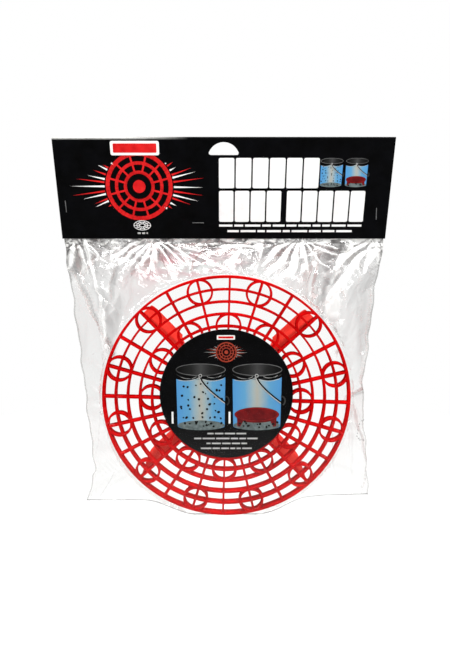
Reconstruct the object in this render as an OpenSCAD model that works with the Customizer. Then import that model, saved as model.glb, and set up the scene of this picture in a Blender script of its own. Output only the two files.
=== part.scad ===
// Grit guard for a wash bucket, in its hanging header bag.
// Origin at the centre of the hang slot, +Z up, the front of the pack towards -Y.

/* [Guard] */
// Outside diameter of the guard
guard_d = 260; // [256:1:262]
// Depth of the rim and of the bars, front to back
grid_depth = 8; // [6:0.5:10]
// Thickness of a bar
bar_w = 2.1; // [1.8:0.1:2.4]
// Radial thickness of the outer rim
rim_w = 2.5; // [2.2:0.1:3]
// Distance between neighbouring rings
ring_pitch = 12.65; // [12.5:0.05:12.7]
// Middle radius of the small circles between the rings
circle_r = 12.4; // [12.3:0.05:12.5]
// How far right of the hang slot the guard has settled in the bag
axis_x = 2.7; // [0:0.1:5]
// Angle the guard has settled at in the bag, clockwise from the front
settle_angle = 1.6; // [-5:0.1:5]

/* [Vanes] */
// Height of the whole guard, from its face to the ends of the vanes
guard_h = 75; // [60:1:76]
// Thickness of a vane
vane_t = 2; // [1.8:0.1:3]
// Radius that a vane reaches
vane_outer_r = 125; // [115:1:125]
// Radius where the full height of a vane ends
vane_knee_r = 75; // [65:1:85]
// Radius where the arch of a vane ends
vane_inner_r = 24; // [22:1:30]
// Rounding of the outer end of a vane
vane_corner_r = 12; // [6:1:16]

/* [Label] */
// Radius of the round card
label_r = 69.5; // [60:0.5:72]
// Thickness of the round card
label_t = 0.4; // [0.3:0.05:0.6]
// Height of the card's centre over the guard's centre
label_up = 6; // [0:0.5:8]

/* [Header] */
// Width of the folded header card
header_w = 340; // [338:1:350]
// Height of the folded header card
header_h = 101; // [96:1:106]
// Thickness of the card
card_t = 0.5; // [0.4:0.05:0.6]
// Space between the two panels of the card
card_gap = 1.4; // [1.3:0.05:1.6]
// Angle that the header leans towards the front
header_lean = 11; // [8:0.5:12]

/* [Hang slot] */
// Width of the hang slot
slot_w = 30; // [28:0.5:34]
// Height of the hang slot
slot_h = 12.2; // [11:0.2:14]
// Distance from the fold to the top of the slot
slot_drop = 4.9; // [4.5:0.05:6]
// Rounding of the lower corners of the slot
slot_corner_r = 2; // [1.5:0.1:2.5]

/* [Staples] */
// Length of a staple
staple_l = 12; // [10:0.5:14]
// Width of the flat wire
wire_w = 0.7; // [0.6:0.05:0.9]
// Thickness of the flat wire
wire_t = 0.5; // [0.4:0.05:0.6]
// Length of the folded end of a leg
leg_fold = 4.5; // [3:0.5:5]

/* [Bag] */
// Half the width of the bag at the header
bag_top_half_w = 168.5; // [166:0.5:169]
// Thickness of the film's solid
film_t = 0.5; // [0.4:0.05:0.6]
// Distance from the fold of the card down to the top edge of the film
film_top_drop = 20; // [19:0.5:24]
// Space between the front of the guard and the film
front_clear = 1.2; // [1:0.1:2]
// Space between the ends of the vanes and the film
back_clear = 1.5; // [1:0.1:2]

/* [Hidden] */

guard_r = guard_d / 2;
// The face and the axis of the guard, from the hang slot
face_y = -17;
axis_z = -255;
// The rim's middle is ring 0, and the hub is the last ring
rim_mid_r = guard_r - rim_w / 2;
hub_ring = 9;
hub_r = rim_mid_r - hub_ring * ring_pitch;
// Every spoke ends at this ring, and every second one goes on to the hub
short_spoke_ring = 7;
short_spoke_r = rim_mid_r - short_spoke_ring * ring_pitch;
spoke_step = 15;
outer_circle_ring = 1;
inner_circle_ring = 4;

// Heights on the leaning header, from the hang slot's centre
fold_up = slot_drop + slot_h / 2;
card_half_t = card_gap / 2 + card_t;
fold_bulge = 0.2;
// The clear space from the film's top edge on the header to the mouth of the bag
film_plate_gap = 0.05;
mouth_down = 94.85;

// The side seam lies in one upright plane, and both films end on it
seam_y = 18;
mouth_z = -92.8;
bag_bottom_z = axis_z - guard_r - 1.5;
rim_clear = 0.8;
drum_r = vane_outer_r + 2;
// The right edge of the bag, from the header down: half width and height
side_edge = [
    [bag_top_half_w, mouth_z],
    [162, -150],
    [155, -265],
    [157, -325],
    [152, -351],
    [160, bag_bottom_z]
];
edge_step = 16;
$fn = 96;

// The guard's own frame: its axis is +Z, its face is at zero and its back is up
module at_guard() {
    translate([axis_x, face_y, axis_z])
        rotate([0, settle_angle, 0])
            rotate([-90, 0, 0])
                children();
}

// The header's frame: upright, with the slot's centre at zero
module on_header() {
    rotate([header_lean, 0, 0])
        children();
}

module ring(r, w) {
    difference() {
        circle(r + w / 2);
        circle(r - w / 2);
    }
}

module spoke(from_r) {
    translate([from_r, -bar_w / 2])
        square([rim_mid_r - from_r, bar_w]);
}

module grid_outline() {
    ring(rim_mid_r, rim_w);
    for (i = [1 : hub_ring])
        ring(rim_mid_r - i * ring_pitch, bar_w);
    for (a = [0 : 2 * spoke_step : 359]) {
        rotate(a)
            spoke(hub_r);
        rotate(a + spoke_step)
            spoke(short_spoke_r);
        rotate(a + spoke_step)
            translate([rim_mid_r - outer_circle_ring * ring_pitch, 0])
                ring(circle_r, bar_w);
        rotate(a)
            translate([rim_mid_r - inner_circle_ring * ring_pitch, 0])
                ring(circle_r, bar_w);
    }
}

module guard_grid() {
    color([0.86, 0.05, 0.06])
        at_guard()
            linear_extrude(grid_depth)
                grid_outline();
}

function arc(center, r, from, to, step) =
    [for (a = [from : (to > from ? step : -step) : to])
        center + r * [cos(a), sin(a)]];

// Seen from the side: radius across, height over the guard's face up
vane_side = concat(
    [[vane_inner_r, grid_depth], [vane_outer_r, grid_depth]],
    arc([vane_outer_r - vane_corner_r, guard_h - vane_corner_r], vane_corner_r, 0, 90, 15),
    arc([vane_inner_r, guard_h], vane_knee_r - vane_inner_r, 0, -90, 7.5)
);

module vane(angle) {
    color([0.9, 0.1, 0.08])
        at_guard()
            rotate(angle)
                translate([0, vane_t / 2, 0])
                    rotate([90, 0, 0])
                        linear_extrude(vane_t)
                            polygon(vane_side);
}

module label_card() {
    color([0.03, 0.03, 0.035])
        translate([axis_x, face_y - label_t, axis_z + label_up])
            rotate([-90, 0, 0])
                cylinder(h = label_t, r = label_r);
}

// A half-moon opening: an arc over a flat lower edge with small round corners
module slot_outline() {
    chord_up = slot_corner_r;
    rise = slot_h - chord_up;
    arc_r = ((slot_w / 2) ^ 2 + rise ^ 2) / (2 * rise);
    flat_half_w = slot_w / 2 - slot_corner_r;
    translate([0, -slot_h / 2]) {
        intersection() {
            translate([0, slot_h - arc_r])
                circle(arc_r);
            translate([-slot_w, chord_up - 0.01])
                square([2 * slot_w, slot_h]);
        }
        translate([-flat_half_w, 0])
            square([2 * flat_half_w, chord_up]);
        for (side = [-1, 1])
            translate([side * flat_half_w, chord_up])
                circle(slot_corner_r - 0.1);
    }
}

module header_card() {
    color([0.04, 0.04, 0.045])
        on_header()
            difference() {
                union() {
                    translate([-header_w / 2, -card_half_t, fold_up - header_h])
                        cube([header_w, 2 * card_half_t, header_h - card_half_t]);
                    fold_bead(card_half_t + fold_bulge, header_w);
                }
                translate([-header_w, -card_gap / 2, fold_up - 2 * header_h])
                    cube([2 * header_w, card_gap, 2 * header_h - card_half_t]);
                fold_bead(card_half_t + fold_bulge - card_t, 2 * header_w);
                translate([0, 10, 0])
                    rotate([90, 0, 0])
                        linear_extrude(20)
                            slot_outline();
            }
}

// The round fold along the top of the header
module fold_bead(r, length) {
    translate([-length / 2, 0, fold_up - card_half_t - fold_bulge])
        rotate([0, 90, 0])
            cylinder(h = length, r = r);
}

// A closed staple: its crown on the front, its legs through the card and folded behind
module staple(x, down, tilt) {
    color([0.75, 0.75, 0.77])
        on_header()
            translate([x, 0, fold_up - down])
                rotate([0, tilt, 0]) {
                    translate([-staple_l / 2, -card_half_t - wire_t, -wire_w / 2])
                        cube([staple_l, wire_t, wire_w]);
                    for (side = [0, 1])
                        mirror([side, 0, 0]) {
                            translate([staple_l / 2 - wire_t, -card_half_t - wire_t, -wire_w / 2])
                                cube([wire_t, 2 * card_half_t + 2 * wire_t, wire_w]);
                            translate([staple_l / 2 - leg_fold, card_half_t, -wire_w / 2])
                                cube([leg_fold, wire_t, wire_w]);
                        }
                }
}

function left_of(p) = [-p.x, p.y];
function reversed(list) = [for (i = [len(list) - 1 : -1 : 0]) list[i]];
// The whole edge of the bag as one loop, seen from the front, starting at the upper right
corners = concat(side_edge, [for (p = reversed(side_edge)) left_of(p)]);
function next(list, i) = list[(i + 1) % len(list)];
function between(a, b) =
    let (n = ceil(norm(b - a) / edge_step))
    [for (k = [0 : n - 1]) a + (b - a) * k / n];
edge_loop = [for (i = [0 : len(corners) - 1]) each between(corners[i], next(corners, i))];
guard_center = [axis_x, axis_z];
function outward(p) = (p - guard_center) / norm(p - guard_center);
function flat_loop(r, y) =
    [for (p = edge_loop) let (q = guard_center + r * outward(p)) [q.x, y, q.y]];
function seam_loop(out) =
    [for (p = edge_loop) let (q = p + out * outward(p)) [q.x, seam_y, q.y]];

// One panel of the bag: flat over a round end of the guard, then straight out to the seam
module film_panel(r, y, side) {
    n = len(edge_loop);
    points = concat(
        flat_loop(r, y),
        seam_loop(0),
        seam_loop(film_t),
        flat_loop(r + film_t, y + side * film_t)
    );
    // Quads from one loop to the next, and the two flat ends. The outer wall is cut along the
    // same diagonals as the inner one, so that the two stay apart where they are warped
    walls = [for (ring = [0 : 2], i = [0 : n - 1])
        let (a = ring * n + i, b = ring * n + (i + 1) % n)
        each ring == 2 ? [[a, b, a + n], [b, b + n, a + n]] : [[a, b, b + n], [a, b + n, a + n]]];
    inner_end = [for (i = [n - 1 : -1 : 0]) i];
    outer_end = [for (i = [0 : n - 1]) 3 * n + i];
    faces = concat(walls, [inner_end, outer_end]);
    polyhedron(points, side > 0 ? [for (f = faces) reversed(f)] : faces);
}

// The flat top of a panel, between the two halves of the header
module film_plate(side) {
    top = fold_up - film_top_drop;
    low_y = side < 0 ? -film_t - film_plate_gap : film_plate_gap;
    on_header()
        translate([-bag_top_half_w, low_y, -mouth_down])
            cube([2 * bag_top_half_w, film_t, top + mouth_down]);
}

module bag_front_film() {
    color([0.9, 0.93, 0.95, 0.35]) {
        film_panel(guard_r + rim_clear, face_y - front_clear, -1);
        film_plate(-1);
    }
}

module bag_back_film() {
    color([0.9, 0.93, 0.95, 0.35]) {
        film_panel(drum_r, face_y + guard_h + back_clear, 1);
        film_plate(1);
    }
}

module vane_upper_right() vane(-45);
module vane_upper_left() vane(-135);
module vane_lower_left() vane(135);
module vane_lower_right() vane(45);
module staple_left() staple(-162.7, 67.5, 90);
module staple_center() staple(-26.7, 84.3, 0);
module staple_right() staple(158, 75.1, 86);

guard_grid();
vane_upper_right();
vane_upper_left();
vane_lower_left();
vane_lower_right();
label_card();
header_card();
staple_left();
staple_center();
staple_right();
bag_front_film();
bag_back_film();
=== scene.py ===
import math

import bmesh
import bpy
import numpy as np
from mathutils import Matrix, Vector

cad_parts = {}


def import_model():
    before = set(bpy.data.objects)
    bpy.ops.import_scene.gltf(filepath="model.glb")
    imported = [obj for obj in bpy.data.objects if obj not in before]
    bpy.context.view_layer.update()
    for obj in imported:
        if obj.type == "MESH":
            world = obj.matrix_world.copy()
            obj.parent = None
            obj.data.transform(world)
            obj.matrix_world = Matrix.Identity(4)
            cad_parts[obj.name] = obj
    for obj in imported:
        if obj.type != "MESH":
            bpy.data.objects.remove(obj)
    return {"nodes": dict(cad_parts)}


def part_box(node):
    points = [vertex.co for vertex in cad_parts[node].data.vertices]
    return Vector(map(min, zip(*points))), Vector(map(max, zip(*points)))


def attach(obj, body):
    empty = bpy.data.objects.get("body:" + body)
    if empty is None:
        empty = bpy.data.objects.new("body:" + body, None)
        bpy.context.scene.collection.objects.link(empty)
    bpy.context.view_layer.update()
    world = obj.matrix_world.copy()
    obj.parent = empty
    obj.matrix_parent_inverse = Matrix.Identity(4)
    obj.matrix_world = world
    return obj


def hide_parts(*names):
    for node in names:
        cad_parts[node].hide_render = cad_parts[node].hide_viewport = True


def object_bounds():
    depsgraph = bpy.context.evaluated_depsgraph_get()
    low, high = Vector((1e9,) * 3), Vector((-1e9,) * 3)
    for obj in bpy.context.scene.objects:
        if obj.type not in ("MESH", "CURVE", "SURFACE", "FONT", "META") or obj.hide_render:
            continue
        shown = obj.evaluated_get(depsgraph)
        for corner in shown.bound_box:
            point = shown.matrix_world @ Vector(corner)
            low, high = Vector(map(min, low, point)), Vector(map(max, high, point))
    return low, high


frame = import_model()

# ---------------------------------------------------------------- sizes from the frame
CAD_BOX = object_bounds()
MM = 0.001
NODES = frame["nodes"]
# how far the header leans to the front
LEAN = math.radians(11)
GRID_LO, GRID_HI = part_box("guard_grid")
LABEL_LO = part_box("label_card")[0]
HEADER_LO, HEADER_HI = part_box("header_card")
VANE_HI_Y = max(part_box(n)[1].y for n in NODES if n.startswith("vane"))
GUARD_R = (GRID_HI.x - GRID_LO.x) / 2
GUARD_X = (GRID_HI.x + GRID_LO.x) / 2
GUARD_Z = (GRID_HI.z + GRID_LO.z) / 2
GRID_BACK_Y = GRID_HI.y
HEADER_HALF_W = (HEADER_HI.x - HEADER_LO.x) / 2
# half the thickness of the folded header, and how far up from the origin its fold is
CARD_HALF_T = 1.2 * MM
FOLD_UP = 11.0 * MM
# the header print is laid out for a card 350 mm wide
PRINT_SCALE = HEADER_HALF_W / (175 * MM)

# The bag: a flat tube of clear film, stapled in the header
BAG_HALF_W = 172 * MM
BAG_LEN = 345 * MM
BAG_IN_HEADER = 85.8 * MM
MOUTH_Y, MOUTH_Z = 18.1 * MM, -93.1 * MM
BAG_BOTTOM_Z = GRID_LO.z - 1.5 * MM
# depth of the side seams, and of the bottom fold in its middle
SEAM_Y = 18 * MM
FOLD_Y = -13 * MM
# the flat film over the guard's face, and behind its vanes
FRONT_Y = LABEL_LO.y - 0.9 * MM
BACK_Y = VANE_HI_Y + 1.2 * MM
# how far the mouth is from the origin, down the header's lean
MOUTH_DROP = math.hypot(MOUTH_Y, MOUTH_Z)
# how much of the film shows between the header's lower edge and the mouth
CARD_GAP = MOUTH_DROP + HEADER_LO.z / math.cos(LEAN)
# the round space that the guard needs, at its rim and around its vanes
RIM_R = GUARD_R + 0.9 * MM
DRUM_R = GUARD_R - 3.2 * MM
# The sides of the bag as it hangs, in millimetres: height, then where the left and right seams are
SIDES = [(-93, -169, 169), (-154, -162.6, 161.5), (-209, -157.7, 158), (-243, -155, 154.5),
         (-266, -153.7, 155), (-290, -152, 157), (-313, -150.2, 159.5), (-337, -148, 162),
         (-349, -147.2, 163.5), (-355, -150.5, 164), (-370, -153.5, 165), (-386.5, -157, 166)]
# Where the film gets a painted reflection of the guard's red rim: strength, then in millimetres the
# place across and down from the mouth, the width and the height, and last how steeply it falls to the
# right
PAINTED_RED_PATCHES = [(1.7, -42, 34, 32, 13, 0.3), (0.5, -30, 30, 70, 30, 0), (1.0, -68, 12, 9, 14, 0),
               (0.5, -85, 60, 20, 15, 0)]


# ---------------------------------------------------------------- small helpers
def link(o):
    bpy.context.scene.collection.objects.link(o)
    return o


def mesh_object(name, verts, faces, materials=(), smooth=True):
    me = bpy.data.meshes.new(name)
    me.from_pydata([tuple(v) for v in verts], [], [tuple(f) for f in faces])
    me.validate()
    me.update()
    if smooth:
        me.polygons.foreach_set("use_smooth", [True] * len(me.polygons))
    for m in materials:
        me.materials.append(m)
    return link(bpy.data.objects.new(name, me))


def new_material(name):
    m = bpy.data.materials.new(name)
    m.use_nodes = True
    return m, m.node_tree, m.node_tree.nodes["Principled BSDF"]


def ramp(tree, source, stops):
    """A colour for each value of the source, from (value, colour) stops."""
    r = tree.nodes.new("ShaderNodeValToRGB")
    tree.links.new(source, r.inputs["Fac"])
    e = r.color_ramp.elements
    while len(e) < len(stops):
        e.new(0.5)
    for k, (at, colour) in enumerate(stops):
        e[k].position = at
        e[k].color = (*colour, 1)
    return r.outputs["Color"]


def grey(v):
    return (v, v, v)


def put(tree, socket, value):
    """Links a node's input to an output, or sets it to a number, a vector or an opaque colour."""
    if isinstance(value, bpy.types.NodeSocket):
        tree.links.new(value, socket)
    elif socket.type == "RGBA":
        socket.default_value = (*value, 1)
    else:
        socket.default_value = value


def set_inputs(tree, node, **inputs):
    """Puts a value on each input, named with _ for each space, and gives the node back."""
    for name, value in inputs.items():
        put(tree, node.inputs[name.replace("_", " ")], value)
    return node


def new_node(tree, kind, **inputs):
    return set_inputs(tree, tree.nodes.new("ShaderNode" + kind), **inputs)


def mix_colour(tree, fac, a, b, blend="MIX"):
    m = new_node(tree, "Mix")
    m.data_type = "RGBA"
    m.blend_type = blend
    # a mix node has inputs for each type, and 6 and 7 are its two colours
    for k, value in ((0, fac), (6, a), (7, b)):
        put(tree, m.inputs[k], value)
    return m.outputs[2]


def math_node(tree, operation, a, b=0.0, clamp=False):
    m = new_node(tree, "Math")
    m.operation = operation
    m.use_clamp = clamp
    put(tree, m.inputs[0], a)
    put(tree, m.inputs[1], b)
    return m.outputs[0]


def plus(tree, a, b, clamp=False):
    return math_node(tree, "ADD", a, b, clamp)


def minus(tree, a, b):
    return math_node(tree, "SUBTRACT", a, b)


def times(tree, a, b, clamp=False):
    return math_node(tree, "MULTIPLY", a, b, clamp)


def object_coords(tree, scale=(1, 1, 1)):
    at = new_node(tree, "TexCoord").outputs["Object"]
    return new_node(tree, "Mapping", Vector=at, Scale=scale).outputs["Vector"]


def separate(tree, vector):
    """The X, Y and Z of a vector."""
    return new_node(tree, "SeparateXYZ", Vector=vector).outputs


def noise(tree, vector, scale, detail=3.0, rough=0.5, distortion=0.0):
    return new_node(tree, "TexNoise", Vector=vector, Scale=scale, Detail=detail, Roughness=rough,
                    Distortion=distortion).outputs["Fac"]


def bump(tree, height, strength, distance, **normal):
    return new_node(tree, "Bump", Height=height, Strength=strength, Distance=distance,
                    **normal).outputs["Normal"]


def mix_shader(tree, fac, a, b):
    m = new_node(tree, "MixShader", Fac=fac)
    tree.links.new(a.outputs[0], m.inputs[1])
    tree.links.new(b.outputs[0], m.inputs[2])
    return m


# ---------------------------------------------------------------- materials
def plastic_material(name, dark, light):
    """Injection moulded polypropylene: saturated matt red, faint flow marks, rounded edges."""
    m, t, p = new_material(name)
    at = object_coords(t)
    flow = noise(t, at, 38, 3, 0.55, 0.4)
    edge = new_node(t, "Bevel", Radius=0.45 * MM)
    edge.samples = 4
    set_inputs(t, p, Base_Color=ramp(t, flow, [(0.3, dark), (0.7, light)]),
               Roughness=ramp(t, flow, [(0.3, grey(0.36)), (0.75, grey(0.48))]),
               Normal=bump(t, noise(t, at, 900, 2), 0.08, 0.05 * MM, Normal=edge.outputs["Normal"]),
               Specular_IOR_Level=0.0, Subsurface_Weight=0.08,
               Subsurface_Radius=(0.004, 0.0006, 0.0005), Subsurface_Scale=1.0)
    return m


def card_material(name, paper_from, pale_fold):
    """Black printed and varnished card with a pale core where it is cut, and a paler patch on its fold.
    """
    m, t, p = new_material(name)
    at = object_coords(t)
    # a face that looks more to the side than this is a cut edge, and shows the paper
    normal = new_node(t, "NewGeometry").outputs["True Normal"]
    cut = math_node(t, "LESS_THAN", math_node(t, "ABSOLUTE", separate(t, normal)["Y"]), paper_from)
    ink = ramp(t, noise(t, at, 60, 4), [(0.3, grey(0.0008)), (0.7, (0.0018, 0.0019, 0.0025))])
    fibre = ramp(t, noise(t, at, 1500, 4, 0.7), [(0.3, grey(0.42)), (0.7, grey(0.66))])
    if pale_fold:
        # the paler patch is along the left part of the fold, which is no cut edge
        pale_down, pale_right, pale_fade = 3.0 * MM, -35 * MM, 60 * MM
        pos = separate(t, at)
        high = times(t, minus(t, pos["Z"], HEADER_HI.z - pale_down), 1 / (1.2 * MM), True)
        left = times(t, minus(t, pale_right, pos["X"]), 1 / pale_fade, True)
        patchy = plus(t, noise(t, at, 300, 4, 0.8), 0.35)
        pale_patch = times(t, times(t, high, left), patchy, True)
        ink = mix_colour(t, pale_patch, ink, (0.5, 0.5, 0.48))
        not_fold = math_node(t, "LESS_THAN", pos["Z"], HEADER_HI.z - 2.6 * MM)
        cut = times(t, cut, not_fold)
    rough = ramp(t, noise(t, at, 220, 3), [(0.3, grey(0.36)), (0.7, grey(0.46))])
    set_inputs(t, p, Base_Color=mix_colour(t, cut, ink, fibre),
               Roughness=mix_colour(t, cut, rough, grey(0.9)),
               Normal=bump(t, noise(t, at, 700, 4, 0.6), 0.12, 0.05 * MM),
               Specular_IOR_Level=0.05)
    return m


def ink_material(name, dark, light, scale):
    """Printed ink with the slight density changes of offset print."""
    m, t, p = new_material(name)
    at = object_coords(t)
    set_inputs(t, p, Base_Color=ramp(t, noise(t, at, scale, 4), [(0.3, dark), (0.7, light)]),
               Normal=bump(t, noise(t, at, 1400, 2), 0.05, 0.05 * MM),
               Roughness=0.42, Specular_IOR_Level=0.12)
    return m


def shaded_material(name, centres, half_w, stops):
    """Print shaded from the middle of each bucket out to its sides."""
    m, t, p = new_material(name)
    at = object_coords(t)
    across = separate(t, at)["X"]
    left, right = (math_node(t, "ABSOLUTE", minus(t, across, x)) for x in centres)
    share = math_node(t, "DIVIDE", math_node(t, "MINIMUM", left, right), half_w, True)
    mottle = times(t, minus(t, noise(t, at, 120, 3), 0.5), 0.18)
    set_inputs(t, p, Base_Color=ramp(t, plus(t, share, mottle), stops),
               Roughness=0.45, Specular_IOR_Level=0.12)
    return m


def steel_material():
    m, t, p = new_material("staple_wire")
    at = object_coords(t)
    set_inputs(t, p, Metallic=1.0,
               Base_Color=ramp(t, noise(t, at, 1200, 3), [(0.3, grey(0.42)), (0.7, grey(0.6))]),
               Roughness=ramp(t, noise(t, at, 2500, 3), [(0.3, grey(0.25)), (0.7, grey(0.45))]))
    return m


def attribute(tree, name):
    """A value that the mesh carries at each of its points."""
    a = new_node(tree, "Attribute")
    a.attribute_name = name
    return a.outputs["Fac"]


def film_tint(t, beside, height, clear):
    """Colour of the light that comes through the film, with the painted shade and the painted red
    reflection that the mesh carries.
    """
    loose = tuple(0.945 * c for c in clear)
    # the tints for a painted reflection of the red rim, for painted shade, and for painted shade in
    # creases
    reflected_red, shaded, crease_shade = (0.86, 0.66, 0.68), (0.38, 0.37, 0.37), (0.2, 0.19, 0.19)
    high = ramp(t, height, [(0.1, grey(1.0)), (0.45, grey(0.7)), (0.93, grey(1.0))])
    band = ramp(t, height, [(0.86, grey(0.0)), (0.93, grey(0.45)), (0.99, grey(1.0))])
    # painted shade: dark streaks in the creases, in a band just under the header
    streaks = ramp(t, noise(t, object_coords(t, (0.5, 1.0, 1.7)), 130, 5, 0.6, 2.2),
                   [(0.44, grey(0.0)), (0.5, grey(1.0)), (0.53, grey(0.0))])
    tint = mix_colour(t, times(t, beside, high), clear, loose)
    # painted reflection of the guard's red rim, where the mesh carries it
    tint = mix_colour(t, attribute(t, "painted_red_reflection"), tint, reflected_red)
    # painted shade by facet, where the mesh carries it
    tint = mix_colour(t, attribute(t, "shade"), tint, shaded)
    painted_crease_shade = times(t, times(t, streaks, band), 0.6)
    return mix_colour(t, painted_crease_shade, tint, crease_shade)


def film_material(name, clear, milky):
    """Clear film: it passes most light, mirrors more at a slant, and has painted shade and painted
    highlights by facet.
    """
    m, t, p = new_material(name)
    t.nodes.remove(p)
    at = object_coords(t)
    pos = separate(t, at)
    # 0 over the guard's face and 1 beside it
    fade = 4 * MM
    across = math_node(t, "POWER", minus(t, pos["X"], GUARD_X), 2.0)
    upright = math_node(t, "POWER", minus(t, pos["Z"], GUARD_Z), 2.0)
    radius = math_node(t, "SQRT", plus(t, across, upright))
    beside = times(t, minus(t, radius, RIM_R), 1 / fade, True)
    # 0 at the bottom fold and 1 at the mouth
    height = times(t, minus(t, pos["Z"], BAG_BOTTOM_Z), 1 / (MOUTH_Z - BAG_BOTTOM_Z), True)
    # the bottom of the film is rubbed, and a little milky
    rubbed = ramp(t, height, [(0.2, grey(0.015)), (0.42, grey(0.0))])
    # painted highlights turn the film white, as do its rubbed, milky bottom
    bright = plus(t, times(t, attribute(t, "shine"), 0.75), plus(t, rubbed, milky), True)
    # fine creases, too small for the mesh
    ridge = math_node(t, "ABSOLUTE", minus(t, noise(t, at, 120, 5, 0.62, 1.2), 0.5))
    normal = bump(t, ridge, 0.25, 0.6 * MM)
    slant = new_node(t, "LayerWeight", Blend=0.5, Normal=normal)
    steep = math_node(t, "POWER", slant.outputs["Facing"], 3.0)
    face_on = plus(t, times(t, beside, 0.025), 0.003)
    mirror = plus(t, times(t, steep, 0.7), face_on)
    through = new_node(t, "BsdfTransparent", Color=film_tint(t, beside, height, clear))
    haze = new_node(t, "BsdfDiffuse", Color=(0.82, 0.82, 0.8))
    gloss = new_node(t, "BsdfGlossy", Color=grey(1.0), Roughness=0.07, Normal=normal)
    top = mix_shader(t, mirror, mix_shader(t, bright, through, haze), gloss)
    t.links.new(top.outputs[0], t.nodes["Material Output"].inputs["Surface"])
    return m


# ---------------------------------------------------------------- the bag
def side_x(z, right):
    """Where the left or right seam is at a height."""
    heights = np.array([p[0] for p in SIDES][::-1]) * MM
    places = np.array([p[2 if right else 1] for p in SIDES][::-1]) * MM
    long_wave = 0.8 * MM * np.sin(z / (8.5 * MM) + (2 if right else 0))
    short_wave = 0.5 * MM * np.sin(z / (4.3 * MM))
    return np.interp(z, heights, places) + long_wave + short_wave


def bottom_z(x):
    """Height of the bottom fold, which rides up a little at the right."""
    return np.interp(x, np.array([60, 115, 170]) * MM, BAG_BOTTOM_Z + np.array([0, 6.0, 7.5]) * MM)


def bottom_y(x):
    """Depth of the bottom fold: the guard's rim has pulled its middle forward."""
    reach, blend = 95 * MM, 62 * MM
    share = np.clip((reach - np.abs(x - GUARD_X)) / blend, 0, 1)
    return SEAM_Y + (FOLD_Y - SEAM_Y) * share * share * (3 - 2 * share)


def ruled_depth(x, z, r_flat, y_flat):
    """Depth of a taut panel: flat over the guard's end, straight from there to the outline."""
    dx, dz = x - GUARD_X, z - GUARD_Z
    rho = np.hypot(dx, dz) + 1e-9
    ux, uz = dx / rho, dz / rho
    # how far away the outline is along the same ray, by halving
    farthest = 0.4
    near, far = np.zeros_like(rho), np.full_like(rho, farthest)
    for _ in range(24):
        mid = (near + far) / 2
        px, pz = GUARD_X + ux * mid, GUARD_Z + uz * mid
        inside = ((pz < MOUTH_Z) & (pz > bottom_z(px))
                  & (px > side_x(pz, False)) & (px < side_x(pz, True)))
        near, far = np.where(inside, mid, near), np.where(inside, far, mid)
    px, pz = GUARD_X + ux * near, GUARD_Z + uz * near
    outline_y = np.where(pz < bottom_z(px) + 1 * MM, bottom_y(px), SEAM_Y)
    share = np.clip((rho - r_flat) / np.maximum(near - r_flat, 1e-4), 0, 1)
    return y_flat + (outline_y - y_flat) * share


def upsample(grid, k):
    """Catmull-Rom points between the rows and columns of a grid of points."""
    for axis in (0, 1):
        g = np.moveaxis(grid, axis, 0)
        padded = np.concatenate([2 * g[:1] - g[1:2], g, 2 * g[-1:] - g[-2:-1]])
        rows = []
        for i in range(len(g) - 1):
            p0, p1, p2, p3 = padded[i:i + 4]
            for s in np.arange(k) / k:
                rows.append(0.5 * (2 * p1 + (p2 - p0) * s + (2 * p0 - 5 * p1 + 4 * p2 - p3) * s * s
                                   + (3 * p1 - p0 - 3 * p2 + p3) * s ** 3))
        rows.append(g[-1])
        grid = np.moveaxis(np.array(rows), 0, axis)
    return grid


def normals_of(grid):
    """Unit normals of a grid of points, by its rows and columns."""
    du = np.gradient(grid, axis=1)
    dv = np.gradient(grid, axis=0)
    n = np.cross(du, dv)
    return n / np.maximum(np.linalg.norm(n, axis=2, keepdims=True), 1e-9)


def quads(grid):
    """The faces between the rows and columns of a grid of point numbers."""
    return np.stack([grid[:-1, :-1], grid[1:, :-1], grid[1:, 1:], grid[:-1, 1:]], axis=2).reshape(-1, 4)


def triangle_wave(p):
    return 4 * np.abs(p - np.floor(p + 0.5)) - 1


def smooth_field(x, y, wavelength, rng):
    """A smooth random field in -1 to 1, with features about one wavelength across."""
    total = np.zeros_like(x)
    for _ in range(7):
        a = rng.uniform(0, math.tau)
        k = math.tau / (wavelength * rng.uniform(0.8, 1.6))
        total += np.sin(k * (x * math.cos(a) + y * math.sin(a)) + rng.uniform(0, math.tau))
    return np.clip(total / 3.2, -1, 1)


def facets(x, d, step_x, step_d, rng):
    """A crumpled height in -1 to 1: flat triangles between scattered points."""
    xs = np.arange(x.min() - step_x, x.max() + 2 * step_x, step_x)
    ds = np.arange(d.min() - step_d, d.max() + 2 * step_d, step_d)
    px, pd = np.meshgrid(xs, ds)
    px = px + rng.uniform(-0.45, 0.45, px.shape) * step_x
    pd = pd + rng.uniform(-0.45, 0.45, px.shape) * step_d
    points = np.stack([px, pd, rng.uniform(-1, 1, px.shape)], axis=2)
    across, down = x[0], d[:, 0]
    height = np.zeros_like(x)
    for j in range(len(ds) - 1):
        for i in range(len(xs) - 1):
            a, b, c, e = points[j, i], points[j, i + 1], points[j + 1, i + 1], points[j + 1, i]
            pairs = ((a, b, c), (a, c, e)) if rng.uniform() < 0.5 else ((a, b, e), (b, c, e))
            for p, q, r in pairs:
                i0, i1 = np.searchsorted(across, (min(p[0], q[0], r[0]), max(p[0], q[0], r[0])))
                j0, j1 = np.searchsorted(down, (min(p[1], q[1], r[1]), max(p[1], q[1], r[1])))
                size = (q[0] - p[0]) * (r[1] - p[1]) - (r[0] - p[0]) * (q[1] - p[1])
                if i1 <= i0 or j1 <= j0 or abs(size) < 1e-9:
                    continue
                gx, gd = x[j0:j1, i0:i1] - p[0], d[j0:j1, i0:i1] - p[1]
                u = (gx * (r[1] - p[1]) - (r[0] - p[0]) * gd) / size
                v = ((q[0] - p[0]) * gd - gx * (q[1] - p[1])) / size
                here = (u >= 0) & (v >= 0) & (u + v <= 1)
                height[j0:j1, i0:i1][here] = (p[2] + u * (q[2] - p[2]) + v * (r[2] - p[2]))[here]
    return height


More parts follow.
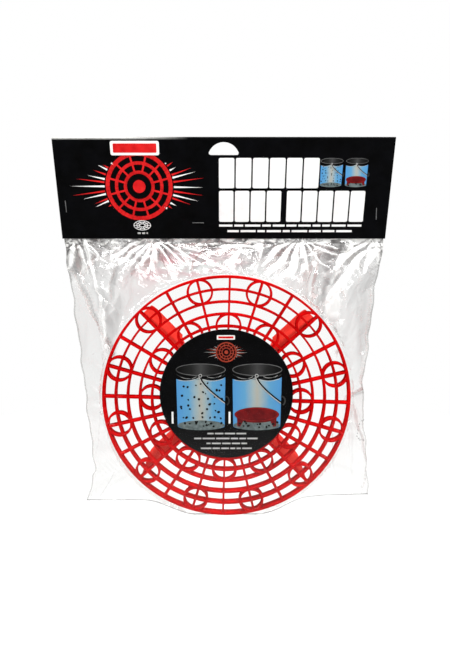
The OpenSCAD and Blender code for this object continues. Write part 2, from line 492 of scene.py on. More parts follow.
def folds(x, y, wavelength, angle, spread, count, rng):
    """Sharp folds with flat sides, running across the given angle."""
    total = np.zeros_like(x)
    for _ in range(count):
        a = angle + rng.uniform(-spread, spread)
        w = wavelength * rng.uniform(0.7, 1.5)
        bend = 0.3 * smooth_field(x, y, 3 * wavelength, rng)
        mask = np.clip(0.5 + smooth_field(x, y, 2.2 * wavelength, rng), 0, 1)
        total += mask * triangle_wave((x * math.cos(a) + y * math.sin(a)) / w + bend
                                      + rng.uniform(0, 1))
    return total / math.sqrt(count)


def fan(x, d, at, reach, count, rng):
    """Folds that radiate down from a pinch at the header."""
    pinch_up, slope, tallest, half_angle = 3 * MM, 0.05, 2.2 * MM, 1.2
    dx, dd = x - at, d + pinch_up
    r = np.hypot(dx, dd)
    a = np.arctan2(dx, dd)
    wave = triangle_wave(a * count / math.pi + 0.3 * smooth_field(x, d, 0.05, rng))
    fade = np.exp(-(r / reach) ** 2) * (np.abs(a) < half_angle)
    return wave * np.minimum(r * slope, tallest) * fade


def crumple(x, d, front, rng):
    """Height of the film's folds over the taut film: x across, d down from the header."""
    band = np.exp(-(d / 0.015) ** 2)
    upper = np.exp(-(d / 0.075) ** 2)
    edge = np.clip((np.abs(x) - 0.08) / 0.05, 0, 1)
    # short creases that run across, just under the header
    h = 2.6 * MM * band * facets(x, d, 0.020, 0.0055, rng)
    h += 0.6 * MM * band * folds(x, d, 0.009, math.pi / 2, 0.8, 3, rng)
    # larger dents in the upper part
    h += 5.0 * MM * upper * facets(x, d, 0.017, 0.030, rng)
    h += 0.4 * MM * upper * facets(x, d, 0.009, 0.010, rng)
    # long upright folds at the sides, which fade out on their way down
    long_fade, short_fade = np.clip(1.2 - d / 0.33, 0.14, 1), np.clip(1.15 - d / 0.27, 0.06, 1)
    h += 6.5 * MM * edge * long_fade * facets(x, d, 0.019, 0.085, rng)
    h += 0.5 * MM * edge * short_fade * facets(x, d, 0.009, 0.034, rng)
    if front:
        h += 1.7 * fan(x, d, 0.082, 0.05, 9, rng) + 1.4 * fan(x, d, -0.078, 0.04, 11, rng)
        h += 1.3 * fan(x, d, -0.16, 0.09, 6, rng) + 1.3 * fan(x, d, 0.163, 0.09, 6, rng)
    return h


def simulate(obj, colliders, frames):
    """Lets the film settle over the guard, and keeps the settled mesh."""
    scene = bpy.context.scene
    mod = obj.modifiers.new("film", "CLOTH")
    s = mod.settings
    s.quality = 8
    s.mass = 0.05
    s.air_damping = 3.0
    s.tension_stiffness = s.compression_stiffness = 25
    s.shear_stiffness = 15
    s.bending_stiffness = 0.6
    s.tension_damping = s.compression_damping = s.shear_damping = 10
    s.bending_damping = 1.0
    s.vertex_group_mass = "held"
    s.pin_stiffness = 1.0
    s.rest_shape_key = obj.data.shape_keys.key_blocks["flat"]
    s.effector_weights.gravity = 0.3
    mod.collision_settings.distance_min = 0.3 * MM
    mod.collision_settings.collision_quality = 3
    for c in colliders:
        c.modifiers.new("solid", "COLLISION")
        c.collision.thickness_outer = 0.2 * MM
        c.collision.damping = 0.8
        c.collision.cloth_friction = 20
    mod.point_cache.frame_start, mod.point_cache.frame_end = 1, frames
    scene.frame_start, scene.frame_end = 1, frames
    for f in range(1, frames + 1):
        scene.frame_set(f)
    settled = obj.evaluated_get(bpy.context.evaluated_depsgraph_get())
    co = np.zeros(len(settled.data.vertices) * 3)
    settled.data.vertices.foreach_get("co", co)
    return co.reshape(-1, 3)


def turned_solid(name, profile, segments=96):
    """A solid of revolution about the guard's axis, from (radius, depth) points, faces outward."""
    verts, faces = [], []
    for r, y in profile:
        for k in range(segments):
            a = math.tau * k / segments
            verts.append((GUARD_X + r * math.cos(a), y, GUARD_Z + r * math.sin(a)))
    for j in range(len(profile) - 1):
        for k in range(segments):
            q = (k + 1) % segments
            faces.append((j * segments + k, (j + 1) * segments + k, (j + 1) * segments + q,
                          j * segments + q))
    faces.append(tuple(range(segments)))
    faces.append(tuple((len(profile) - 1) * segments + k for k in range(segments - 1, -1, -1)))
    return mesh_object(name, verts, faces)


def bag_panels():
    """Front and back film as grids of points, rows down from the header, columns left to right."""
    cols, rows = 68, 69
    x_flat = np.linspace(-BAG_HALF_W, BAG_HALF_W, cols + 1)
    d_flat = np.linspace(0, BAG_LEN, rows + 1)
    xf, df = np.meshgrid(x_flat, d_flat)
    # rows are spread so that the film down the middle has its real length
    z_line = np.linspace(MOUTH_Z, BAG_BOTTOM_Z, 400)
    y_line = ruled_depth(np.zeros_like(z_line), z_line, RIM_R, FRONT_Y)
    run = np.concatenate([[0], np.cumsum(np.hypot(np.diff(z_line), np.diff(y_line)))])
    z_rows = np.interp(d_flat / BAG_LEN * run[-1], run, z_line)
    z = np.repeat(z_rows[:, None], cols + 1, axis=1)
    across = (xf / BAG_HALF_W + 1) / 2
    x = side_x(z, False) + across * (side_x(z, True) - side_x(z, False))
    z = MOUTH_Z + (z - MOUTH_Z) * (bottom_z(x) - MOUTH_Z) / (BAG_BOTTOM_Z - MOUTH_Z)
    front = np.stack([x, ruled_depth(x, z, RIM_R, FRONT_Y), z], axis=2)
    back = np.stack([x, ruled_depth(x, z, DRUM_R, BACK_Y), z], axis=2)
    # the two panels share the points of their seams and of the bottom fold
    n = xf.size
    index_front = np.arange(n).reshape(xf.shape)
    index_back = index_front + n
    for line in ((slice(None), 0), (slice(None), cols), (rows, slice(None))):
        index_back[line] = index_front[line]
    keep = np.union1d(index_front, index_back)
    index_back = np.searchsorted(keep, index_back)
    verts = np.concatenate([front.reshape(-1, 3), back.reshape(-1, 3)])
    flat_front = np.stack([xf, np.zeros_like(xf), MOUTH_Z - df], axis=2).reshape(-1, 3)
    flat = np.concatenate([flat_front, flat_front])
    faces_front = np.roll(quads(index_front), -1, axis=1)
    faces_back = np.roll(quads(index_back), -1, axis=1)[:, ::-1]
    faces = np.stack([faces_front, faces_back], axis=1).reshape(-1, 4)
    bag = mesh_object("bag_cloth", verts[keep], faces)
    bag.shape_key_add(name="Basis")
    key = bag.shape_key_add(name="flat")
    key.data.foreach_set("co", flat[keep].ravel())
    key.value = 0.0
    held = bag.vertex_groups.new(name="held")
    # the mouth is stapled in the header, and the welded edges and the bottom fold are stiff
    outline = np.concatenate([index_front[0], index_front[rows], index_front[:, 0],
                              index_front[:, cols], index_back[0]])
    held.add(np.unique(outline).tolist(), 1.0, "ADD")
    core = turned_solid("guard_core", [
        (RIM_R - 0.6 * MM, LABEL_LO.y - 0.2 * MM), (RIM_R - 0.6 * MM, GRID_BACK_Y),
        (DRUM_R - 0.6 * MM, GRID_BACK_Y + 1 * MM), (DRUM_R - 0.6 * MM, VANE_HI_Y - 6 * MM),
        (DRUM_R - 6 * MM, VANE_HI_Y + 0.2 * MM)])
    settled = simulate(bag, [core], frames=36)
    front, back = settled[index_front], settled[index_back]
    for o in (bag, core):
        bpy.data.objects.remove(o)
    return front, back, xf, df


def clear_of_guard(p, front):
    """Keeps the film off the space that the guard turns in."""
    if front:
        solids = ((RIM_R + 0.5 * MM, FRONT_Y + 0.25 * MM),)
    else:
        solids = ((DRUM_R + 1.5 * MM, BACK_Y + 0.5 * MM),
                  (RIM_R + 1.0 * MM, GRID_BACK_Y + 2.2 * MM))
    wall_layer = 6 * MM
    for radius, depth in solids:
        dx, dz = p[..., 0] - GUARD_X, p[..., 2] - GUARD_Z
        r = np.hypot(dx, dz)
        wall = radius - r
        end = p[..., 1] - depth if front else depth - p[..., 1]
        inside = (wall > 0) & (end > 0)
        # a point near the round wall moves out to it, and any other moves to the flat end
        to_wall = inside & (wall < np.minimum(end, wall_layer))
        grow = np.where(to_wall, radius / r, 1.0)
        p[..., 0] = GUARD_X + dx * grow
        p[..., 2] = GUARD_Z + dz * grow
        p[..., 1] = np.where(inside & ~to_wall, depth, p[..., 1])
    return p


def in_header(places, up, front):
    """A row of film in the header's plane, by how far up from the mouth it is."""
    s = up - MOUTH_DROP
    y = (-0.3 if front else 0.3) * MM
    level = np.ones_like(places)
    return np.stack([places, level * (y * math.cos(LEAN) - s * math.sin(LEAN)),
                     level * (y * math.sin(LEAN) + s * math.cos(LEAN))], axis=1)


def lean_and_crease(h, x, d):
    """How far each facet leans down to the right, and its creases: ridges above 0, valleys below."""
    lean = (0.75 * np.gradient(h, axis=1) / np.gradient(x, axis=1)
            + 0.65 * np.gradient(h, axis=0) / np.gradient(d, axis=0))
    bend = np.gradient(np.gradient(h, axis=1), axis=1) + np.gradient(np.gradient(h, axis=0), axis=0)
    return lean, -bend / np.percentile(np.abs(bend), 95)


def film_shading(h, x, d, off_guard, rng):
    """How much painted shade, painted highlight and painted reflection of the guard's red rim each point
    gets.
    """
    below = d + CARD_GAP
    # facets that lean down and to the right get painted shade, and the others a painted highlight
    lean, crease = lean_and_crease(h, x, d)
    middle = np.exp(-(x / 0.075) ** 2)
    # the painted shade is deepest just under the header, most in the middle
    deep = 0.34 + (0.35 + 0.6 * middle) * np.exp(-(below / 0.022) ** 2)
    shade = deep * np.clip((-lean - 0.16) * 5, 0, 1)
    shine = np.clip((lean - 0.16) * 6, 0, 1) * (0.3 + 0.7 * np.exp(-(d / 0.07) ** 2))
    # long upright folds at both sides, with painted grey shade
    upright = facets(x, d, 0.016, 0.11, rng) * np.clip((np.abs(x) - 0.09) / 0.03, 0, 1)
    shade = shade + 0.42 * np.clip(upright * 2.6 - 0.5, 0, 1) * np.clip(1.25 - d / 0.2, 0, 1)
    # the creases between the facets: ridges get a painted highlight, valleys painted shade
    shade = shade + 0.6 * deep * np.clip(-crease - 0.4, 0, 1)
    shine = shine + 0.9 * np.clip(crease - 0.3, 0, 1)
    # painted reflection of the guard's red rim: patches near the rim, broken up by facets
    red = sum(strength * np.exp(-((x - at_x * MM) / (wide * MM)) ** 2
                                - ((d - at_d * MM - slope * (x - at_x * MM)) / (tall * MM)) ** 2)
              for strength, at_x, at_d, wide, tall, slope in PAINTED_RED_PATCHES)
    painted_red_reflection = off_guard * red * np.clip(0.35 + 1.6 * facets(x, d, 0.016, 0.013, rng), 0, 1)
    return {"shade": np.clip(shade, 0, 1) * off_guard, "shine": np.clip(shine, 0, 1) * off_guard,
            "painted_red_reflection": painted_red_reflection}


def film_piece(name, grid, xf, df, front, material):
    """One panel of the bag: the settled grid, made finer, crumpled, and led up into the header."""
    fine = 4
    p = upsample(grid, fine)
    x = upsample(xf[..., None], fine)[..., 0]
    d = upsample(df[..., None], fine)[..., 0]
    # the film goes on up to the header's lower edge
    gap = np.linspace(CARD_GAP, 0, 4, endpoint=False)
    p = np.concatenate([np.array([in_header(p[0, :, 0], up, front) for up in gap]), p])
    x = np.concatenate([np.repeat(x[:1], len(gap), axis=0), x])
    d = np.concatenate([np.repeat(-gap[:, None], x.shape[1], axis=1), d])
    n = normals_of(p)
    if n[..., 1].mean() * (-1 if front else 1) < 0:
        n = -n
    rng = np.random.default_rng(11 if front else 23)
    below = d + CARD_GAP
    h = crumple(x, below, front, rng)
    # the film is smooth where it lies over the guard, and flat at its welds and in the header
    past_rim = np.hypot(p[..., 0] - GUARD_X, p[..., 2] - GUARD_Z) - RIM_R
    beside = np.clip(past_rim / (9 * MM), 0, 1)
    hem = np.clip(np.minimum(BAG_HALF_W - np.abs(x), BAG_LEN - d) / (12 * MM), 0, 1)
    loose = (0.04 + 0.96 * beside) * hem * np.clip(below / (9 * MM), 0, 1)
    p = clear_of_guard(p + n * (h * loose)[..., None], front)
    values = film_shading(h, x, d, np.clip(past_rim / (3 * MM), 0, 1), rng)
    # the part stapled between the two halves of the card
    up = np.linspace(BAG_IN_HEADER, CARD_GAP, 24, endpoint=False)
    rows = [in_header(p[0, :, 0], u, front) for u in up]
    visible = p
    p = np.concatenate([np.array(rows), p])
    faces = quads(np.arange(p.shape[0] * p.shape[1]).reshape(p.shape[:2]))
    o = mesh_object(name, p.reshape(-1, 3), faces if front else faces[:, ::-1], [material])
    for key, value in values.items():
        # the painted shade, highlights and red reflection of the pleats go on a little way up between
        # the two halves of the card
        above = np.where(up[:, None] < 20 * MM, value[0], 0.0)
        full = np.concatenate([above, value])
        o.data.attributes.new(key, "FLOAT", "POINT").data.foreach_set("value", full.ravel())
    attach(o, "pack")
    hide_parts("bag_front_film" if front else "bag_back_film")
    return o, visible


def weld_strip(name, line, inward, width, material):
    """The narrow weld along an edge of the bag, a flat strip a little thicker than the film."""
    thick = 0.3 * MM
    verts, faces = [], []
    for a in line:
        for side, out in ((-1, 0), (1, 0), (1, 1), (-1, 1)):
            verts.append(a + np.array(inward) * width * out + np.array([0, side * thick / 2, 0]))
    for k in range(len(line) - 1):
        for q in range(4):
            a, b = 4 * k + q, 4 * k + (q + 1) % 4
            faces.append((a, b, b + 4, a + 4))
    faces.append((3, 2, 1, 0))
    faces.append(tuple(4 * (len(line) - 1) + q for q in range(4)))
    o = mesh_object(name, verts, faces, [material], smooth=False)
    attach(o, "pack")
    return o


def vent_dots(film, material):
    """A punched half round by the right seam: a row of small dots on the film."""
    centre_z, half_w, half_h, dot_r = -0.3, 10 * MM, 11 * MM, 0.7 * MM
    count, corners = 11, 8
    cells = film.reshape(-1, 3)
    verts, faces = [], []
    for k in range(count):
        a = math.radians(90 + 18 * k)
        cx = side_x(centre_z, True) + half_w * math.cos(a)
        cz = centre_z + half_h * math.sin(a)
        near = cells[np.argmin((cells[:, 0] - cx) ** 2 + (cells[:, 2] - cz) ** 2)]
        start = len(verts)
        for depth in (0.2 * MM, 0.45 * MM):
            for q in range(corners):
                b = math.tau * q / corners
                verts.append((near[0] + dot_r * math.cos(b), near[1] - depth,
                              near[2] + dot_r * math.sin(b)))
        back, front = start, start + corners
        faces += [tuple(range(front, front + corners))[::-1], tuple(range(back, back + corners))]
        faces += [(back + q, front + q, front + (q + 1) % corners, back + (q + 1) % corners)
                  for q in range(corners)]
    o = mesh_object("vent_dots", verts, faces, [material])
    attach(o, "pack")
    return o


# ---------------------------------------------------------------- print
# In millimetres: how far the lowest ink is off the card, its thickness, and the step to the next level
PRINT_LIFT, PRINT_THICK, PRINT_STEP = 0.02, 0.04, 0.05


class Print:
    """Shapes printed on a flat face, as prisms a few hundredths of a millimetre high."""

    def __init__(self, place):
        self.bm = bmesh.new()
        self.place = place
        self.materials = []
        self.level = 0

    def shape(self, points, material, level=0):
        if material not in self.materials:
            self.materials.append(material)
        slot = self.materials.index(material)
        low = PRINT_LIFT + PRINT_STEP * level
        heights = (low, low + PRINT_THICK)
        n = len(points)
        area = sum(points[k][0] * points[(k + 1) % n][1] - points[(k + 1) % n][0] * points[k][1]
                   for k in range(n))
        if area < 0:
            points = points[::-1]
        rings = [[self.bm.verts.new(self.place(x, z, h)) for x, z in points] for h in heights]
        made = [self.bm.faces.new(rings[1]), self.bm.faces.new(rings[0][::-1])]
        for k in range(n):
            q = (k + 1) % n
            made.append(self.bm.faces.new((rings[0][k], rings[0][q], rings[1][q], rings[1][k])))
        for f in made:
            f.material_index = slot

    def box(self, x, z, w, h, material, level=0, round_by=0.0):
        """A rectangle by its centre and size, with rounded corners."""
        r = min(round_by, w / 2 - 0.01, h / 2 - 0.01)
        if r <= 0:
            pts = [(x - w / 2, z - h / 2), (x + w / 2, z - h / 2), (x + w / 2, z + h / 2),
                   (x - w / 2, z + h / 2)]
        else:
            pts = []
            for cx, cz, start in ((1, 1, 0), (-1, 1, 90), (-1, -1, 180), (1, -1, 270)):
                for k in range(7):
                    a = math.radians(start + 15 * k)
                    pts.append((x + cx * (w / 2 - r) + r * math.cos(a),
                                z + cz * (h / 2 - r) + r * math.sin(a)))
        self.shape(pts, material, level)

    def ellipse(self, x, z, a, b, material, level=0, n=40, turn=0.0):
        pts = []
        for k in range(n):
            t = math.tau * k / n
            px, pz = a * math.cos(t), b * math.sin(t)
            pts.append((x + px * math.cos(turn) - pz * math.sin(turn),
                        z + px * math.sin(turn) + pz * math.cos(turn)))
        self.shape(pts, material, level)

    def band(self, line, width, material, level=0):
        """A line of even width, as one quad per step, each a little longer so that they join."""
        overlap = 0.12
        pts = [Vector(p) for p in line]
        for a, b in zip(pts, pts[1:]):
            t = (b - a).normalized()
            s = Vector((-t.y, t.x)) * width / 2
            e = t * width * overlap
            self.shape([tuple(a - s - e), tuple(b - s + e), tuple(b + s + e), tuple(a + s - e)],
                       material, level)

    def arc(self, x, z, a, b, start, end, width, material, level=0, n=24):
        line = []
        for k in range(n + 1):
            t = math.radians(start + (end - start) * k / n)
            line.append((x + a * math.cos(t), z + b * math.sin(t)))
        self.band(line, width, material, level)

    def finish(self, name, body):
        me = bpy.data.meshes.new(name)
        self.bm.to_mesh(me)
        self.bm.free()
        for m in self.materials:
            me.materials.append(m)
        o = link(bpy.data.objects.new(name, me))
        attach(o, body)
        return o


def on_header(x, z, up):
    """A point on the header's front: millimetres across, down from the fold, and off the card."""
    y = -CARD_HALF_T - up * MM
    s = FOLD_UP - z * PRINT_SCALE * MM
    return Vector((x * PRINT_SCALE * MM, y * math.cos(LEAN) - s * math.sin(LEAN),
                   y * math.sin(LEAN) + s * math.cos(LEAN)))


def on_label(x, z, up):
    """A point on the round card: millimetres across and up from the guard's centre, and off the card."""
    return Vector((GUARD_X + x * MM, LABEL_LO.y - up * MM, GUARD_Z + z * MM))


def dashes(pr, x0, x1, z, height, material, rng, words):
    """A line of plain bars in place of small print, one to a word."""
    x = x0
    space, bar = height * 0.55, height * 0.62
    lengths = rng.uniform(0.5, 1.5, words)
    lengths = lengths / lengths.sum() * ((x1 - x0) - (words - 1) * space)
    for w in lengths:
        pr.box(x + w / 2, z, w, bar, material)
        x += w + space


# In millimetres: half the width of a bucket on the round card, and where the two pairs of buckets are
BUCKET_HALF_W = 25.5
LABEL_BUCKET_X = (-26.5, 32.0)
HEADER_BUCKET_X = (111.8, 137.8)


def bucket_water(pr, x, top, bottom, half_w, k, mats, up):
    """The water, with a wavy top, tapered sides and a round bottom, and the silt on the bottom."""
    water_top = top - up * 0.02 * abs(top - bottom)
    side = []
    n = 26
    for i in range(n + 1):
        t = -1 + 2 * i / n
        dip = 3.6 * k * abs(math.sin(math.pi * (t * 0.93 + 0.07))) ** 0.8
        side.append((x + half_w * t, water_top - up * dip))
    for i in range(n + 1):
        a = -math.pi * i / n
        side.append((x + half_w * 0.97 * math.cos(a), bottom + up * (4.6 * k * math.sin(a))))
    pr.shape(side, mats["water"], 0)
    # the pale edge of the water, and on the large print two ripples behind it
    pr.band([(px, pz - up * 0.4 * k) for px, pz in side[1:n]], 0.6 * k, mats["small"], 1)
    if up > 0:
        for across, high, wide in ((-0.5, 3.6, 0.42), (0.5, 4.6, 0.4)):
            pr.arc(x + half_w * across, top + high * k, half_w * wide, 6.4 * k, 215, 325, 0.4 * k,
                   mats["small"], 1, 16)
    pr.ellipse(x, bottom + up * 0.6 * k, half_w * 0.97, 5.4 * k, mats["silt"], 1)


def bucket_guard(pr, x, bottom, half_w, k, mats, up):
    """The guard as it stands in a bucket: its disc, and two of its vanes."""
    z = bottom + up * 12.5 * k
    dark = mats["guard"]
    pr.ellipse(x, z - up * 3.5 * k, half_w * 0.82, 5.5 * k, dark, 2)
    for s in (-1, 1):
        pr.shape([(x + s * half_w * 0.45, z - up * 2 * k), (x + s * half_w * 0.82, z - up * 2 * k),
                  (x + s * half_w * 0.80, z - up * 13 * k),
                  (x + s * half_w * 0.68, z - up * 13.4 * k)], dark, 3)
    pr.ellipse(x, z, half_w * 0.92, 8 * k, dark, 4)
    pr.arc(x, z, half_w * 0.86, 7.0 * k, 0, 360, 0.5 * k, mats["guard_edge"], 5, 30)


def bucket_grit(pr, x, top, bottom, half_w, k, mats, clean, up, rng):
    """Grit on the bottom, and spread through the water if it is dirty."""
    spots = [(rng.uniform(-0.85, 0.85), rng.uniform(-0.05, 0.07)) for _ in range(14)]
    if not clean:
        spots += [(-0.8 + 0.27 * i + rng.uniform(-0.1, 0.1),
                   0.16 + 0.13 * j + rng.uniform(-0.05, 0.05))
                  for i in range(7) for j in range(6) if rng.uniform() < 0.85]
    for across, high in spots:
        size = rng.uniform(0.75, 1.35) * k
        z = bottom + up * (abs(top - bottom) * high + 1.0 * k)
        pr.ellipse(x + half_w * across, z, size * rng.uniform(1.0, 1.5), size,
                   mats["grit"], 5 if clean else 2, 10, rng.uniform(0, 3))


def bucket_rim(pr, x, top, half_w, k, mats, up):
    """The dark rim with its pale edge, and a softer edge inside it on the large print."""
    rim = top + up * 7.0 * k
    pr.ellipse(x, rim - up * 0.6 * k, half_w * 1.03, 7.0 * k, mats["rim_dark"], 3)
    pr.arc(x, rim, half_w * 1.0, 6.2 * k, 0, 360, 0.7 * k, mats["rim_edge"], 4, 40)
    if up > 0:
        pr.arc(x, rim - 4.0 * k, half_w * 0.99, 6.0 * k, 190, 350, 0.5 * k, mats["rim_soft"], 4, 24)


def bucket_bail(pr, x, top, bottom, half_w, k, mats, up):
    """The bail: a black wire with a pale line beside it, its pivot, and its hook at the right."""
    h = abs(top - bottom)
    line, pale = [], []
    for i in range(15):
        t = i / 14
        px = x + half_w * (-0.02 + 1.02 * t)
        pz = top - up * (h * (0.02 + 0.5 * t ** 0.72))
        line.append((px, pz))
        pale.append((px - 0.8 * k, pz - up * 1.0 * k))
    pr.band(line, 1.5 * k, mats["grit"], 6)
    pr.band(pale, 1.0 * k, mats["small"], 5)
    pivot_x, pivot_z = x - 0.02 * half_w, top + up * 0.6 * k
    pr.ellipse(pivot_x, pivot_z, 2.1 * k, 2.1 * k, mats["grit"], 6, 16)
    pr.arc(pivot_x, pivot_z, 1.5 * k, 1.5 * k, 0, 360, 0.9 * k, mats["small"], 7, 14)
    pr.arc(x + half_w * 1.03, top - up * h * 0.49, 3.0 * k, 4.6 * k, -70, 110, 1.6 * k,
           mats["rim_soft"], 6, 12)


def bucket(pr, x, top, bottom, half_w, mats, clean, up, rng):
    """A bucket of water, drawn in units of k. up is -1 where z runs down the face, 1 where up."""
    k = half_w / BUCKET_HALF_W
    bucket_water(pr, x, top, bottom, half_w, k, mats, up)
    if clean:
        bucket_guard(pr, x, bottom, half_w, k, mats, up)
    bucket_grit(pr, x, top, bottom, half_w, k, mats, clean, up, rng)
    bucket_rim(pr, x, top, half_w, k, mats, up)
    bucket_bail(pr, x, top, bottom, half_w, k, mats, up)


def emblem(pr, x, z, r, mats, rng):
    """A plain round pictogram of the guard, with rays at both sides."""
    for share, width in ((1.0, 0.13), (0.72, 0.1), (0.44, 0.1)):
        pr.arc(x, z, r * share, r * share, 0, 360, r * width, mats["red"], 1, 48)
    for k in range(12):
        a = math.radians(30 * k + 15)
        pr.band([(x + r * 0.44 * math.cos(a), z + r * 0.44 * math.sin(a)),
                 (x + r * 0.97 * math.cos(a), z + r * 0.97 * math.sin(a))], r * 0.06, mats["red"], 2)
    pr.ellipse(x, z, r * 0.2, r * 0.2, mats["red"], 2)
    half_ray = r * 0.03
    for s in (-1, 1):
        for k in range(-6, 7):
            a = math.radians(6.5 * k + rng.uniform(-2, 2))
            a0, a1 = r * 1.1, r * (2.4 - 0.2 * abs(k)) * rng.uniform(0.8, 1.0)
            ink = mats["white"] if k % 2 == 0 else mats["red"]
            c, q = math.cos(a), math.sin(a)
            pr.shape([(x + s * (a0 * c - half_ray * q), z + a0 * q + half_ray * c),
                      (x + s * (a0 * c + half_ray * q), z + a0 * q - half_ray * c),
                      (x + s * a1 * c, z + a1 * q)], ink, 1 + k % 3)


def small_wheel(pr, x, z, half_w, half_h, ink):
    """Three oval rings and ten spokes, a small picture of the guard from above."""
    for share in (1.0, 0.66, 0.33):
        pr.arc(x, z, half_w * share, half_h * share, 0, 360, 0.6, ink, 5, 28)
    for k in range(10):
        a = math.radians(36 * k)
        pr.band([(x + 2.5 * math.cos(a), z + 1.4 * math.sin(a)),
                 (x + half_w * math.cos(a), z + half_h * math.sin(a))], 0.5, ink, 6)


def heading_blocks(pr, left, ink):
    """Plain blocks in place of the heading's words: two rows, the second with a gap in it."""
    for z, tall, width, groups in ((35.6, 30.4, 16.0, (6,)), (69.6, 32.4, 15.2, (4, 5))):
        x = left
        for group in groups:
            for _ in range(group):
                pr.box(x + width / 2, z, width, tall, ink, 0, 1.6)
                x += width + 1.6
            x += 4.4


def print_header(mats):
    """The header's print, z in millimetres down from the fold."""
    rng = np.random.default_rng(3)
    pr = Print(on_header)
    emblem(pr, -88.5, 49, 33, mats, rng)
    pr.box(-91, 10.8, 50, 14, mats["white"], 5, 2)
    pr.box(-91, 10.8, 44.5, 9, mats["red"], 6, 1)
    heading_blocks(pr, -5.0, mats["white"])
    dashes(pr, -5, 148, 89.8, 3.6, mats["white"], rng, 11)
    dashes(pr, 4, 138, 95.8, 3.6, mats["white"], rng, 9)
    small_wheel(pr, -87.5, 89.5, 9, 5, mats["white"])
    dashes(pr, -93, -82, 98, 2.8, mats["small"], rng, 3)
    for x, clean in zip(HEADER_BUCKET_X, (False, True)):
        bucket(pr, x, 26.5, 47.5, 11.4, mats, clean, -1, rng)
    pr.finish("header_print", "pack")


def print_label(mats):
    """The round card's print, z in millimetres up from the guard's centre."""
    rng = np.random.default_rng(5)
    pr = Print(on_label)
    emblem(pr, 0, 51.5, 10.0, dict(mats, red=mats["red_soft"], white=mats["small"]), rng)
    pr.box(-0.5, 67.0, 18.5, 4.6, mats["white"], 2, 0.8)
    pr.box(-0.5, 67.0, 15.5, 2.2, mats["red"], 3, 0.3)
    for x, clean in zip(LABEL_BUCKET_X, (False, True)):
        bucket(pr, x, 26.0, -28.0, BUCKET_HALF_W, mats, clean, 1, rng)
    for z, a, b, words in ((-36.5, -20, 21, 4), (-42, -34, 33, 6), (-47.5, -21, 22, 5),
                           (-53, -27, 27, 6)):
        dashes(pr, a, b, z, 2.6, mats["small"], rng, words)
    for x in (-56.5, 3.4):
        pr.box(x, -19, 2.0, 13, mats["white"], 0, 0.4)
    pr.finish("label_print", "guard")


# ---------------------------------------------------------------- build
PLASTIC = plastic_material("guard_plastic", (0.4, 0.0008, 0.0012), (0.58, 0.0025, 0.003))
# painted light: light shines through the thin vanes, so their red is painted brighter
VANE_PLASTIC = plastic_material("vane_plastic", (0.6, 0.026, 0.018), (0.72, 0.042, 0.03))
HEADER_CARD = card_material("header_card", 0.8, True)
LABEL_CARD = card_material("label_card", 0.5, False)
STEEL = steel_material()
FILM = film_material("clear_film", (0.98, 0.98, 0.975), 0.001)
WELD = film_material("film_weld", (0.93, 0.93, 0.925), 0.05)
FOLD = film_material("film_fold", (0.66, 0.66, 0.655), 0.02)

# the finish of each CAD node, by the start of its name
FINISHES = {"guard_grid": PLASTIC, "vane": VANE_PLASTIC, "header_card": HEADER_CARD,
            "label_card": LABEL_CARD, "staple": STEEL, "bag": FILM}
for name, obj in NODES.items():
    obj.data.materials.clear()
    obj.data.materials.append(next(m for start, m in FINISHES.items() if name.startswith(start)))

# the inks: dark and light tone, and the fineness of the mottle
INKS = {
    "white": ((0.74, 0.74, 0.73), (0.86, 0.86, 0.85), 90),
    "red": ((0.48, 0.006, 0.008), (0.66, 0.016, 0.016), 140),
    "red_soft": ((0.3, 0.03, 0.015), (0.42, 0.06, 0.03), 300),
    "guard": ((0.075, 0.003, 0.004), (0.17, 0.006, 0.007), 160),
    "guard_edge": ((0.2, 0.008, 0.008), (0.34, 0.016, 0.016), 160),
    "silt": ((0.07, 0.09, 0.09), (0.16, 0.2, 0.2), 300),
    "grit": (grey(0.003), grey(0.007), 90),
    "rim_edge": (grey(0.05), grey(0.2), 60),
    "rim_soft": (grey(0.02), grey(0.06), 60),
    "small": ((0.4, 0.4, 0.39), (0.52, 0.52, 0.51), 90),
}
MATS = {name: ink_material("ink_" + name, *look) for name, look in INKS.items()}
# the water and the rims of the buckets, shaded out to their sides
WATER = [(0.0, (0.36, 0.36, 0.32)), (0.16, (0.3, 0.37, 0.38)), (0.5, (0.1, 0.3, 0.5)),
         (1.0, (0.07, 0.26, 0.54))]
RIM = [(0.0, grey(0.045)), (0.35, grey(0.014)), (0.8, grey(0.003)), (1.0, grey(0.002))]


def with_shades(card, centres, half_w):
    """The inks of a card, with the shades for the buckets at these places."""
    return dict(MATS, water=shaded_material("ink_water_" + card, centres, half_w, WATER),
                rim_dark=shaded_material("ink_rim_" + card, centres, half_w, RIM))


header_at = [x * PRINT_SCALE * MM for x in HEADER_BUCKET_X]
label_at = [GUARD_X + x * MM for x in LABEL_BUCKET_X]
print_header(with_shades("header", header_at, 11 * MM))
print_label(with_shades("label", label_at, BUCKET_HALF_W * MM))

# the bag
front, back, x_flat, d_flat = bag_panels()
film_front, p_front = film_piece("film_front", front, x_flat, d_flat, True, FILM)
film_back, _ = film_piece("film_back", back, x_flat, d_flat, False, FILM)
strips = [
    weld_strip("weld_left", p_front[:, 0], (1, 0, 0), 1.6 * MM, WELD),
    weld_strip("weld_right", p_front[:, -1], (-1, 0, 0), 1.6 * MM, WELD),
    weld_strip("fold_bottom", p_front[-1], (0, 0, 1), 1.2 * MM, FOLD),
    vent_dots(p_front, FOLD),
]


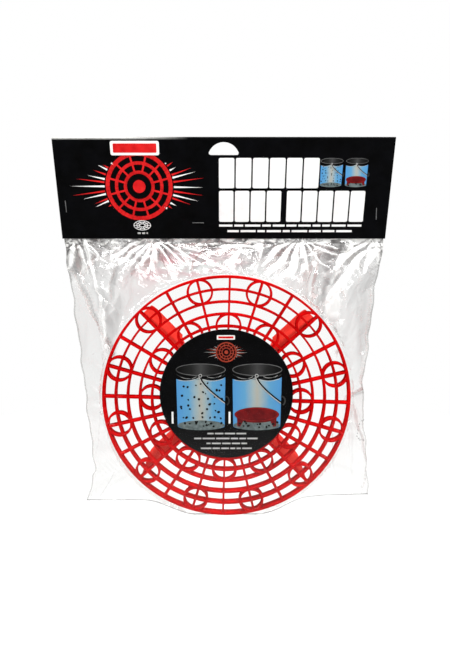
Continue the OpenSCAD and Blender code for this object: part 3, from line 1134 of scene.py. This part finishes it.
# ---------------------------------------------------------------- studio
def world():
    """White to look at. What lights the pack is dim in front, and bright behind and at the sides."""
    w = bpy.data.worlds.new("studio")
    bpy.context.scene.world = w
    w.use_nodes = True
    t = w.node_tree
    bg, out = t.nodes["Background"], t.nodes["World Output"]
    direction = separate(t, new_node(t, "TexCoord").outputs["Generated"])
    behind = plus(t, times(t, direction["Y"], 0.5), 0.5)
    shade = ramp(t, behind, [(0.0, grey(0.1)), (0.2, grey(0.16)), (0.5, grey(0.75)), (0.75, grey(1.0))])
    overhead = ramp(t, direction["Z"], [(0.3, grey(1.0)), (0.62, grey(0.3)), (1.0, grey(0.25))])
    set_inputs(t, bg, Color=mix_colour(t, 1.0, shade, overhead, "MULTIPLY"), Strength=1.0)
    seen = new_node(t, "Background", Color=grey(1.0))
    to_look_at = new_node(t, "LightPath").outputs["Is Camera Ray"]
    t.links.new(mix_shader(t, to_look_at, bg, seen).outputs[0], out.inputs["Surface"])


def softbox(name, place, target, size, power):
    """A rectangular lamp: its place, what it points at, its size in metres, and its watts."""
    light = bpy.data.lights.new(name, "AREA")
    light.shape = "RECTANGLE"
    light.size, light.size_y = size
    light.energy = power
    o = link(bpy.data.objects.new(name, light))
    o.location = place
    o.rotation_mode = "QUATERNION"
    o.rotation_quaternion = (Vector(target) - Vector(place)).to_track_quat("-Z", "Y")
    return o


def floor():
    """A pale round floor below the hanging pack, turned up a little at its edge."""
    z, middle_y, seg = CAD_BOX[0].z - 0.42, 0.35, 96
    verts, faces = [(0, middle_y, z)], []
    # radius and height of each ring
    rings = [(0.5, 0), (0.9, 0), (1.15, 0.01), (1.3, 0.05)]
    for r, up in rings:
        for k in range(seg):
            a = math.tau * k / seg
            verts.append((r * math.cos(a), middle_y + r * math.sin(a), z + up))
    for k in range(seg):
        q = (k + 1) % seg
        faces.append((0, 1 + k, 1 + q))
        for j in range(len(rings) - 1):
            a = 1 + j * seg
            faces.append((a + k, a + seg + k, a + seg + q, a + q))
    m, t, p = new_material("floor")
    # translucent white, lit from below like a light table
    marble = ramp(t, noise(t, object_coords(t), 3, 2), [(0.0, grey(0.36)), (1.0, grey(0.39))])
    set_inputs(t, p, Base_Color=marble, Roughness=0.85, Specular_IOR_Level=0.1,
               Emission_Color=grey(1.0), Emission_Strength=0.69)
    o = mesh_object("floor", verts, faces, [m])


world()
floor()
middle = (0, 0, GUARD_Z)
softbox("key", (-0.95, -0.75, 0.75), middle, (0.7, 0.7), 20)
softbox("fill", (1.05, -0.8, 0.45), middle, (0.6, 0.9), 14)
softbox("top", (0.0, -0.35, 0.95), (0, 0, -0.12), (1.1, 0.3), 23)
softbox("rear", (0.5, 0.9, 0.8), middle, (0.8, 0.8), 16)

cam_data = bpy.data.cameras.new("camera")
cam_data.lens, cam_data.sensor_width = 29.1, 36
camera = link(bpy.data.objects.new("camera", cam_data))
camera.location = (0.0013, -0.545, -0.084)
camera.rotation_euler = (math.radians(90 - 9.8), 0, 0)
bpy.context.scene.camera = camera
bpy.context.scene.view_settings.view_transform = "Standard"
